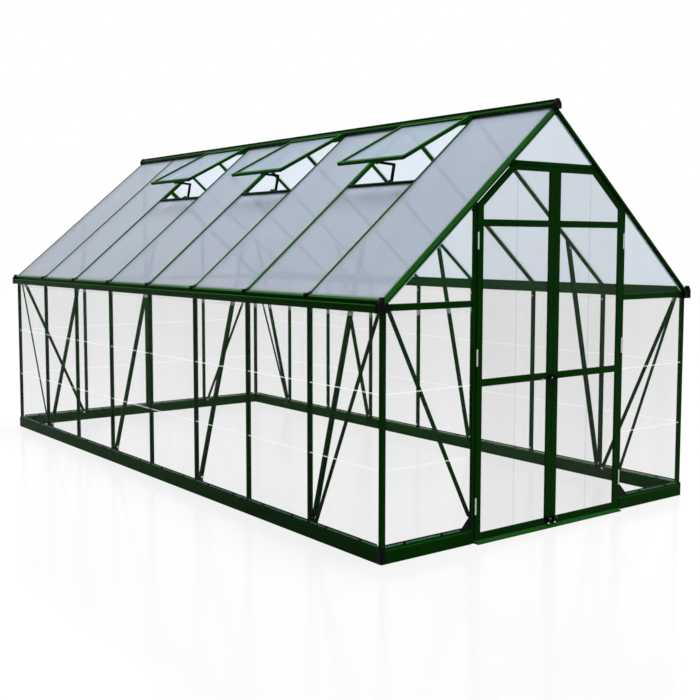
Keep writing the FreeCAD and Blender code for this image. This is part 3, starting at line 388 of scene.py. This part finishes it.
def glazing_bead(name, greens):
    """Grey-green translucent bead or strip that holds a pane; its light tones are partly painted highlight.
    """
    material, tree, shader, coords = new_material(name)
    cloud = noise(tree, coords, scale=60.0)
    tree.links.new(blend(tree, cloud, *greens), shader.inputs["Base Color"])
    tree.links.new(remap(tree, cloud, low=0.5, high=0.62), shader.inputs["Alpha"])
    tree.links.new(remap(tree, cloud, low=0.6, high=0.9), shader.inputs["Metallic"])
    tree.links.new(remap(tree, cloud, low=0.2, high=0.35), shader.inputs["Roughness"])
    return material


def tinted(colour, tint):
    """A colour multiplied by a tint."""
    return tuple(part * share for part, share in zip(colour, tint))


def twin_wall_sheet(name, tint):
    """Tinted twin-wall sheet: fine flutes down the slope, and light that scatters through it."""
    material, tree, shader, coords = new_material(name)
    skin = [tinted(blue, tint) for blue in skin_blues]
    through = [tinted(blue, tint) for blue in through_blues]
    flutes = tree.nodes.new("ShaderNodeTexWave")
    flutes.bands_direction = "Y"
    flutes.inputs["Scale"].default_value = flute_scale
    tree.links.new(coords, flutes.inputs["Vector"])
    slow = noise(tree, scaled(tree, coords, (0.5, 1.6, 0.5)), scale=1.0)
    patches = remap(tree, slow, low=0.0, high=1.0, from_low=0.3, from_high=0.7)
    lines = remap(tree, flutes.outputs["Fac"], low=0.0, high=flute_strength)
    colour = blend(tree, lines, blend(tree, patches, *skin), tinted(flute_blue, tint))
    tree.links.new(colour, shader.inputs["Base Color"])
    tree.links.new(remap(tree, slow, low=0.2, high=0.3), shader.inputs["Roughness"])
    relief = bump(tree, flutes.outputs["Fac"], strength=0.1, distance=0.0004)
    tree.links.new(relief, shader.inputs["Normal"])
    scatter = tree.nodes.new("ShaderNodeBsdfTranslucent")
    tree.links.new(blend(tree, slow, *through), scatter.inputs["Color"])
    body = mixed(tree, shader.outputs["BSDF"], scatter.outputs["BSDF"], scatter_share)
    clear = tree.nodes.new("ShaderNodeBsdfTransparent")
    sheet = mixed(tree, clear.outputs["BSDF"], body, sheet_share)
    tree.links.new(sheet, tree.nodes["Material Output"].inputs["Surface"])
    return material


def milky_strip():
    """Frosted white strip that veils what is behind it."""
    material, tree, shader, coords = new_material("milky_strip_look")
    cloud = noise(tree, coords, scale=25.0, detail=3.0)
    tree.links.new(blend(tree, cloud, *milky_whites), shader.inputs["Base Color"])
    shader.inputs["Transmission Weight"].default_value = 0.9
    shader.inputs["IOR"].default_value = 1.08
    tree.links.new(remap(tree, cloud, low=0.5, high=0.62), shader.inputs["Roughness"])
    tree.links.new(remap(tree, cloud, low=0.13, high=0.21), shader.inputs["Alpha"])
    return material


def bright_steel():
    """Zinc-plated steel, finely brushed along its height."""
    material, tree, shader, coords = new_material("bright_steel_look")
    shader.inputs["Metallic"].default_value = 1.0
    brush = noise(tree, scaled(tree, coords, (1500.0, 1500.0, 60.0)), scale=1.0)
    tree.links.new(blend(tree, brush, *steel_greys), shader.inputs["Base Color"])
    tree.links.new(remap(tree, brush, low=0.22, high=0.42), shader.inputs["Roughness"])
    tree.links.new(bump(tree, brush, strength=0.08, distance=0.0002), shader.inputs["Normal"])
    return material


def dress_nodes(looks):
    """Give every node of the frame its own look where it has one, or else the look of its material slot."""
    slots = {part["node"]: part["material_slot"] for part in frame["record"]["subparts"]}
    own_looks = {
        # Painted shade: the vent sills get a near-black copy of the frame's green.
        "vent_sills": powder_coat("green_sill_painted_shade_look", sill_painted_shade_greens),
        # Painted shade: the ridge beam gets a darker copy of the frame's green.
        "ridge_beam": powder_coat("green_ridge_painted_shade_look", ridge_painted_shade_greens),
        **dict.fromkeys(ribbed_nodes, ribbed_sheet()),
        **dict.fromkeys(door_nodes, door_sheet()),
    }
    for name, node in frame["nodes"].items():
        node.data.materials.clear()
        node.data.materials.append(own_looks.get(name, looks[slots[name]]))


# Roof sheets

def islands(shape):
    """The connected groups of vertices of a bmesh."""
    left, groups = set(shape.verts), []
    while left:
        group, edge = set(), [left.pop()]
        while edge:
            vertex = edge.pop()
            group.add(vertex)
            for link in vertex.link_edges:
                other = link.other_vert(vertex)
                if other in left:
                    left.remove(other)
                    edge.append(other)
        groups.append(group)
    return groups


def corners_of(group):
    """The low and the high corner of the box round a group of vertices."""
    low = Vector([min(vertex.co[k] for vertex in group) for k in range(3)])
    high = Vector([max(vertex.co[k] for vertex in group) for k in range(3)])
    return low, high


def is_inside(inner, outer):
    """Whether one box lies wholly inside another."""
    return all(outer[0][k] < inner[0][k] and inner[1][k] < outer[1][k] for k in range(3))


def make_sheet(node, body, look):
    """The outer skin of twin-wall panels, so that light passes two faces and not four.

    A raised vent shades nothing: the milky sheet lets the light through to the roof under it.
    """
    mesh = frame["nodes"][node].data.copy()
    shape = bmesh.new()
    shape.from_mesh(mesh)
    bmesh.ops.remove_doubles(shape, verts=shape.verts, dist=weld_distance)
    groups = islands(shape)
    boxes = [corners_of(group) for group in groups]
    gaps = []
    for group, box in zip(groups, boxes):
        if any(is_inside(box, other) for other in boxes):
            gaps.extend(group)
    bmesh.ops.delete(shape, geom=gaps, context="VERTS")
    shape.to_mesh(mesh)
    shape.free()
    mesh.materials.clear()
    mesh.materials.append(look)
    sheet = bpy.data.objects.new(node.replace("panel", "sheet"), mesh)
    sheet.visible_shadow = body == "frame"
    bpy.context.scene.collection.objects.link(sheet)
    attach(sheet, body)
    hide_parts(node)


# Trim

def make_piece(name, body, slot, look, build, *details):
    """A piece whose mesh is built by a function, riding on a body."""
    shape = bmesh.new()
    build(shape, *details)
    bmesh.ops.recalc_face_normals(shape, faces=shape.faces)
    mesh = bpy.data.meshes.new(name)
    shape.to_mesh(mesh)
    shape.free()
    mesh.materials.append(look)
    piece = bpy.data.objects.new(name, mesh)
    bpy.context.scene.collection.objects.link(piece)
    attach(piece, body)


def add_loft(shape, rings):
    """Skin a row of rings, each a list of points, and close both ends."""
    loops = [[shape.verts.new(point) for point in ring] for ring in rings]
    count = len(loops[0])
    for low, high in zip(loops, loops[1:]):
        for k in range(count):
            after = (k + 1) % count
            shape.faces.new((low[k], low[after], high[after], high[k]))
    shape.faces.new(loops[0])
    shape.faces.new(loops[-1])


def round_points(centre, axis, radius, sides):
    """Points round a centre, square to an axis."""
    across = axis.orthogonal().normalized()
    up = axis.cross(across).normalized()
    turn = 2 * math.pi / sides
    return [centre + radius * (math.cos(k * turn) * across + math.sin(k * turn) * up) for k in range(sides)]


def add_turned(shape, place, axis, sides, steps):
    """A round or faceted form made of steps of (rise along the axis, radius)."""
    place, axis = Vector(place), Vector(axis)
    add_loft(shape, [round_points(place + axis * rise, axis, radius, sides) for rise, radius in steps])


def add_bolt(shape, place, axis):
    """A hexagon-headed bolt on its washer."""
    add_turned(shape, place, axis, round_sides, washer_steps)
    add_turned(shape, place, axis, hexagon_sides, bolt_steps)


def frame_lines():
    """Places along the length of the posts between the corners."""
    return [(i - bay_count / 2) * bay_pitch for i in range(1, bay_count)]


def build_post_bolts(shape):
    """Bolts at the feet and heads of the wall posts, on the inside."""
    low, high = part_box("left_wall_posts")
    for side in (-1, 1):
        for y in frame_lines():
            for z in (low[2] + post_bolt_inset, high[2] - post_bolt_inset):
                add_bolt(shape, (-side * high[0], y, z), (-side, 0, 0))


def build_strut_bolts(shape):
    """Bolts through the knee struts near both ends, seen on both faces."""
    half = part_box("knee_struts")[1][1] - frame_lines()[-1]
    for side in (-1, 1):
        for y in frame_lines()[::2]:
            for z in strut_bolt_heights:
                x = side * (strut_foot[0] - strut_lean * (z - strut_foot[1]))
                add_bolt(shape, (x, y - half, z), (0, -1, 0))
                add_bolt(shape, (x, y + half, z), (0, 1, 0))


def brace_bolt_places(brace):
    """The two bolts of a brace, a little inside its ends: (place along the wall, height)."""
    top, foot = Vector(brace[0]), Vector(brace[1])
    along = (foot - top).normalized() * brace_bolt_inset
    return top + along, foot - along


def build_brace_bolts(shape):
    """Bolts at the ends of the flat wall braces, on the inside."""
    side_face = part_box("corner_posts")[1][0] - brace_face_depth
    end_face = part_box("corner_posts")[1][1] - brace_face_depth
    for side in (-1, 1):
        for end in (-1, 1):
            for along, z in brace_bolt_places(side_brace):
                add_bolt(shape, (side * side_face, end * along, z), (-side, 0, 0))
            for along, z in brace_bolt_places(back_brace if end > 0 else front_brace):
                add_bolt(shape, (side * along, end * end_face, z), (0, -end, 0))


def build_diamonds(shape):
    """A raised diamond low on the face of each ridge end cap."""
    low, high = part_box("ridge_end_caps")
    z = low[2] + diamond_size + diamond_rise
    for y, out in ((low[1], -1), (high[1], 1)):
        rings = []
        for rise, size in ((0.0, diamond_size), (diamond_rise, diamond_top_share * diamond_size)):
            level = y + out * rise
            rings.append([(size, level, z), (0, level, z + size), (-size, level, z), (0, level, z - size)])
        add_loft(shape, rings)


def build_cap_ribs(shape):
    """Two upright rounded ribs on the face of each gutter end cap."""
    low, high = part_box("gutter_end_caps")
    for y in (low[1], high[1]):
        for side in (-1, 1):
            for inset, height in cap_ribs:
                place = (side * (high[0] - inset), y, low[2] + cap_rib_foot)
                steps = ((0.0, cap_rib_radius / 2), (cap_rib_radius, cap_rib_radius),
                         (height - cap_rib_radius, cap_rib_radius), (height, cap_rib_radius / 2))
                add_turned(shape, place, (0, 0, 1), cap_rib_sides, steps)


def build_cap_sleeves(shape):
    """The part of each gutter end cap that wraps the gutter's outer wall and floor."""
    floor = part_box("gutter_end_caps")[0][2]
    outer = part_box("right_gutter")[1][0]
    inner, top = outer - sleeve_height, floor + sleeve_height
    t = sleeve_sheet
    outside = [(inner, floor - t), (outer + t, floor - t), (outer + t, top)]
    outline = outside + [(outer, top), (outer, floor), (inner, floor)]
    for out in (-1, 1):
        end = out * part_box("right_gutter")[1][1]
        for side in (-1, 1):
            rings = [[(side * x, y, z) for x, z in outline] for y in (end, end - out * sleeve_length)]
            add_loft(shape, rings)


def build_clip_caps(shape):
    """A rounded cap on the black clip at the foot of every roof bar."""
    low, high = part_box("bar_clips")
    half_x, half_y = clip_cap_half
    corners = ((-1, -1), (1, -1), (1, 1), (-1, 1))
    for side in (-1, 1):
        x = side * (high[0] - half_x)
        for y in frame_lines():
            rings = []
            for rise, share in clip_cap_steps:
                reach_x, reach_y, z = half_x * share, half_y * share, low[2] + rise
                rings.append([(x + i * reach_x, y + j * reach_y, z) for i, j in corners])
            add_loft(shape, rings)


def below_roof(x, depth):
    """Height of a line that lies depth below the roof plane, square to the slope."""
    return roof_peak - roof_fall * x - depth * math.hypot(1, roof_fall)


def build_beads(shape):
    """Beads that press the gable panes against the frame along the rafters."""
    low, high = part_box("gable_panes")
    for face, out, spans in ((low[1], -1, front_bead_spans), (high[1], 1, back_bead_spans)):
        for start, end in spans:
            for side in (-1, 1):
                rings = []
                for x in (start, end):
                    top, bottom = (below_roof(x, depth) for depth in bead_depths)
                    middle, front = (top + bottom) / 2, face + out * bead_thickness
                    rings.append([(side * x, face, top), (side * x, front, middle), (side * x, face, bottom)])
                add_loft(shape, rings)


def foot_spans():
    """Stretches of wall between the posts: (start, end, outward direction), at the panes' outer faces."""
    side_x, end_y = wall_face
    side_stops = [-wall_ends[1]] + frame_lines() + [wall_ends[1]]
    back_stops = [-wall_ends[0]] + [-end_pitch, 0.0, end_pitch] + [wall_ends[0]]
    spans = []
    for out in (-1, 1):
        for start, end in zip(side_stops, side_stops[1:]):
            spans.append(((out * side_x, start + post_half), (out * side_x, end - post_half), (out, 0)))
        start, end = sorted((out * doorway_half, out * wall_ends[0]))
        spans.append(((start, -end_y), (end, -end_y), (0, -1)))
    for start, end in zip(back_stops, back_stops[1:]):
        spans.append(((start + post_half, end_y), (end - post_half, end_y), (0, 1)))
    return spans


def build_foot_strips(shape, edges):
    """Strips along the feet of the wall panes, sloped in their upper half."""
    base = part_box("end_base_rails")[1][2]
    low, high = (base + edge for edge in edges)
    middle = (low + high) / 2
    for start, end, out in foot_spans():
        rings = []
        for x, y in (start, end):
            front = (x + out[0] * foot_thickness, y + out[1] * foot_thickness)
            rings.append([(x, y, low), (*front, low), (*front, middle), (x, y, high)])
        add_loft(shape, rings)


def mirrored(points, side, y):
    """Points of a door's outline (distance from the middle, height) on one leaf at a depth y."""
    return [Vector((side * x, y, z)) for x, z in points]


def inset(points, width):
    """A convex outline moved inward by a width on every side."""
    count, moved = len(points), []
    for k in range(count):
        before, here, after = Vector(points[k - 1]), Vector(points[k]), Vector(points[(k + 1) % count])
        first, second = (here - before).normalized(), (after - here).normalized()
        first_in, second_in = Vector((-first[1], first[0])), Vector((-second[1], second[0]))
        middle = (first_in + second_in).normalized()
        moved.append(tuple(here + middle * (width / middle.dot(first_in))))
    return moved


def pane_outlines():
    """Outlines of the three panes of a leaf."""
    near_side, far_side = pane_sides
    outlines = [top_pane]
    for low, high in pane_spans:
        outlines.append(((near_side, low), (far_side, low), (far_side, high), (near_side, high)))
    return outlines


def build_gaskets(shape, side):
    """Black gaskets round the panes of one door leaf, with a sloped inner edge."""
    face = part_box("right_door_panes")[0][1]
    for outline in pane_outlines():
        rings = [mirrored(outline, side, face), mirrored(outline, side, face - gasket_rise)]
        rings.append(mirrored(inset(outline, gasket_width), side, face))
        loops = [[shape.verts.new(point) for point in ring] for ring in rings]
        for low, high in zip(loops, loops[1:] + loops[:1]):
            for k in range(len(low)):
                shape.faces.new((low[k - 1], low[k], high[k], high[k - 1]))


def build_rivets(shape, side):
    """A pair of rivets at each joint of rail and stile on one door leaf."""
    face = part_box("right_door_frame")[0][1]
    for x, z in rail_rivets:
        for shift in (-rivet_spread, rivet_spread):
            add_turned(shape, (side * x, face, z + shift), (0, -1, 0), rivet_sides, rivet_steps)


def build_latch_screw(shape):
    """Screw cap in the middle of the latch."""
    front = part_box("latch_handle")[0][1]
    add_turned(shape, (latch_centre[0], front, latch_centre[1]), (0, -1, 0), round_sides, screw_steps)


def build_lock_ring(shape):
    """A small ring hung on a screw."""
    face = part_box("left_door_frame")[0][1]
    x, z = ring_place
    add_turned(shape, (x, face, z), (0, -1, 0), round_sides, screw_steps)
    centre = Vector((x, face - ring_stand_off, z - ring_radius))
    loops = []
    for k in range(ring_steps):
        angle = 2 * math.pi * k / ring_steps
        out = Vector((math.cos(angle), 0, math.sin(angle)))
        along = out.cross(Vector((0, 1, 0)))
        points = round_points(centre + out * ring_radius, along, ring_wire, ring_sides)
        loops.append([shape.verts.new(point) for point in points])
    for low, high in zip(loops, loops[1:] + loops[:1]):
        start = min(range(ring_sides), key=lambda k: (high[k].co - low[0].co).length)
        for k in range(ring_sides):
            near_high, far_high = high[(start + k) % ring_sides], high[(start + k + 1) % ring_sides]
            shape.faces.new((low[k], low[(k + 1) % ring_sides], far_high, near_high))


def make_trim(looks):
    """All the small pieces that are not in the frame's own nodes."""
    steel, black, green = looks["bright_steel"], looks["black_plastic"], looks["green_frame"]
    make_piece("post_bolts", "frame", "bright_steel", steel, build_post_bolts)
    make_piece("strut_bolts", "frame", "bright_steel", steel, build_strut_bolts)
    make_piece("brace_bolts", "frame", "bright_steel", steel, build_brace_bolts)
    make_piece("ridge_cap_diamonds", "frame", "black_plastic", black, build_diamonds)
    make_piece("gutter_cap_ribs", "frame", "black_plastic", black, build_cap_ribs)
    make_piece("gutter_cap_sleeves", "frame", "black_plastic", black, build_cap_sleeves)
    make_piece("bar_clip_caps", "frame", "black_plastic", black, build_clip_caps)
    # The beads' light tones are partly painted highlight; the foot strips' are wholly painted highlight.
    bead = glazing_bead("glazing_bead_highlight_look", bead_highlight_greens)
    strip = glazing_bead("foot_strip_highlight_look", strip_highlight_greens)
    make_piece("glazing_beads", "frame", "clear_polycarbonate", bead, build_beads)
    make_piece("foot_gaskets", "frame", "black_plastic", black, build_foot_strips, foot_gasket)
    # A painted highlight: a light strip over the base's lip.
    make_piece("foot_lip_highlights", "frame", "clear_polycarbonate", strip, build_foot_strips, foot_lip)
    for body, side in (("left_door", -1), ("right_door", 1)):
        make_piece(body + "_rivets", body, "green_frame", green, build_rivets, side)
        make_piece(body + "_gaskets", body, "black_plastic", black, build_gaskets, side)
    make_piece("latch_screw", "latch", "bright_steel", steel, build_latch_screw)
    make_piece("lock_ring", "left_door", "bright_steel", steel, build_lock_ring)


# Surroundings

def straight_paths(tree, paths):
    """1 for what is seen straight on and in reflections, 0 for other light."""
    return combined(tree, "MAXIMUM", paths.outputs["Is Camera Ray"], paths.outputs["Is Glossy Ray"])


def bright_paths(tree):
    """1 for what is seen straight on, in reflections and through sheets, 0 for light that bounces."""
    paths = tree.nodes.new("ShaderNodeLightPath")
    return combined(tree, "MAXIMUM", straight_paths(tree, paths), paths.outputs["Is Transmission Ray"])


def clear_paths(tree):
    """As bright_paths, but 0 for light that a milky sheet scatters through."""
    paths = tree.nodes.new("ShaderNodeLightPath")
    through, scattered = paths.outputs["Is Transmission Ray"], paths.outputs["Is Diffuse Ray"]
    clear = combined(tree, "SUBTRACT", through, scattered)
    return combined(tree, "MAXIMUM", straight_paths(tree, paths), clear)


def grey_shader(tree, grey):
    """A matt grey."""
    node = tree.nodes.new("ShaderNodeBsdfDiffuse")
    node.inputs["Color"].default_value = (grey, grey, grey, 1.0)
    return node.outputs["BSDF"]


def floor_material():
    """White to the eye, with a soft shadow and a faint reflection; darker to the light it bounces."""
    material = bpy.data.materials.new("floor_look")
    material.use_nodes = True
    tree = material.node_tree
    tree.nodes.clear()
    output = tree.nodes.new("ShaderNodeOutputMaterial")
    bounce = grey_shader(tree, floor_bounce_grey)
    shaded = grey_shader(tree, floor_shadow_grey)
    white = tree.nodes.new("ShaderNodeEmission")
    white.inputs["Strength"].default_value = 1.0
    gloss = tree.nodes.new("ShaderNodeBsdfGlossy")
    gloss.inputs["Roughness"].default_value = floor_gloss_roughness
    seen = mixed(tree, shaded, white.outputs["Emission"], floor_glow_share)
    shiny = mixed(tree, seen, gloss.outputs["BSDF"], floor_gloss_share)
    final = mixed(tree, bounce, shiny, clear_paths(tree))
    tree.links.new(final, output.inputs["Surface"])
    return material


def make_floor():
    """A wide square just under the ground."""
    half = floor_size / 2
    mesh = bpy.data.meshes.new("floor")
    corners = [(x, y, -floor_drop) for x, y in ((-half, -half), (half, -half), (half, half), (-half, half))]
    mesh.from_pydata(corners, [], [(0, 1, 2, 3)])
    floor = bpy.data.objects.new("floor", mesh)
    bpy.context.scene.collection.objects.link(floor)
    mesh.materials.append(floor_material())


def make_world():
    """White to the eye and in reflections, a faint even sky as light."""
    world = bpy.data.worlds.new("studio")
    bpy.context.scene.world = world
    world.use_nodes = True
    tree = world.node_tree
    tree.nodes.clear()
    output = tree.nodes.new("ShaderNodeOutputWorld")
    sky = tree.nodes.new("ShaderNodeBackground")
    sky.inputs["Color"].default_value = pure_white
    sky.inputs["Strength"].default_value = sky_strength
    white = tree.nodes.new("ShaderNodeBackground")
    white.inputs["Color"].default_value = pure_white
    both = mixed(tree, sky.outputs["Background"], white.outputs["Background"], bright_paths(tree))
    tree.links.new(both, output.inputs["Surface"])


def make_sun():
    """The sun, turned to shine from its bearing and tilt."""
    data = bpy.data.lights.new("sun", "SUN")
    data.energy = sun_strength
    data.angle = math.radians(sun_angle)
    sun = bpy.data.objects.new("sun", data)
    tilt, bearing = math.radians(sun_tilt), math.radians(sun_bearing)
    flat = math.sin(tilt)
    towards = Vector((flat * math.sin(bearing), flat * math.cos(bearing), math.cos(tilt)))
    sun.rotation_euler = towards.to_track_quat("Z", "Y").to_euler()
    bpy.context.scene.collection.objects.link(sun)


def make_camera():
    """The camera, fitted to the view in the photograph."""
    data = bpy.data.cameras.new("camera")
    data.sensor_width = camera_sensor
    data.lens = camera_lens
    data.shift_x, data.shift_y = camera_shift
    data.clip_end = camera_reach
    camera = bpy.data.objects.new("camera", data)
    bearing, elevation = math.radians(camera_bearing), math.radians(camera_elevation)
    flat = math.cos(elevation)
    ahead = Vector((flat * math.sin(bearing), flat * math.cos(bearing), math.sin(elevation)))
    camera.location = camera_place
    camera.rotation_euler = ahead.to_track_quat("-Z", "Y").to_euler()
    bpy.context.scene.collection.objects.link(camera)
    bpy.context.scene.camera = camera


# The scene

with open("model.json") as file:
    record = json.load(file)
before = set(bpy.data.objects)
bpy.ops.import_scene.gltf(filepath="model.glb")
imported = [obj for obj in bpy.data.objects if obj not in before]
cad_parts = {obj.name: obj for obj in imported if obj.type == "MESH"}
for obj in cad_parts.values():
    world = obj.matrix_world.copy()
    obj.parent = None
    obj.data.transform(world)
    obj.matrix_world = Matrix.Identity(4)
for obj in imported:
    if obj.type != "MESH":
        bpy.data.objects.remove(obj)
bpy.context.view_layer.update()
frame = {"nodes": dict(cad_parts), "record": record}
looks = {
    "green_frame": powder_coat("green_frame_look", frame_greens),
    "green_base": powder_coat("green_base_look", base_greens),
    "black_plastic": black_plastic(),
    "clear_polycarbonate": clear_sheet("clear_sheet_look", gable_haze)[0],
    "twin_wall_polycarbonate": twin_wall_sheet("twin_wall_look", roof_tint),
    "white_strip": milky_strip(),
    "bright_steel": bright_steel(),
}
dress_nodes(looks)
for side in ("left", "right"):
    make_sheet(side + "_roof_panels", "frame", looks["twin_wall_polycarbonate"])
# The vents' darker tint is painted shade.
vent_look = twin_wall_sheet("twin_wall_vent_look", vent_painted_shade_tint)
for number in (1, 2, 3):
    make_sheet(f"vent_{number}_panel", f"vent_{number}", vent_look)
make_trim(looks)
make_floor()
make_world()
make_sun()
make_camera()
bpy.context.scene.view_settings.view_transform = "Standard"
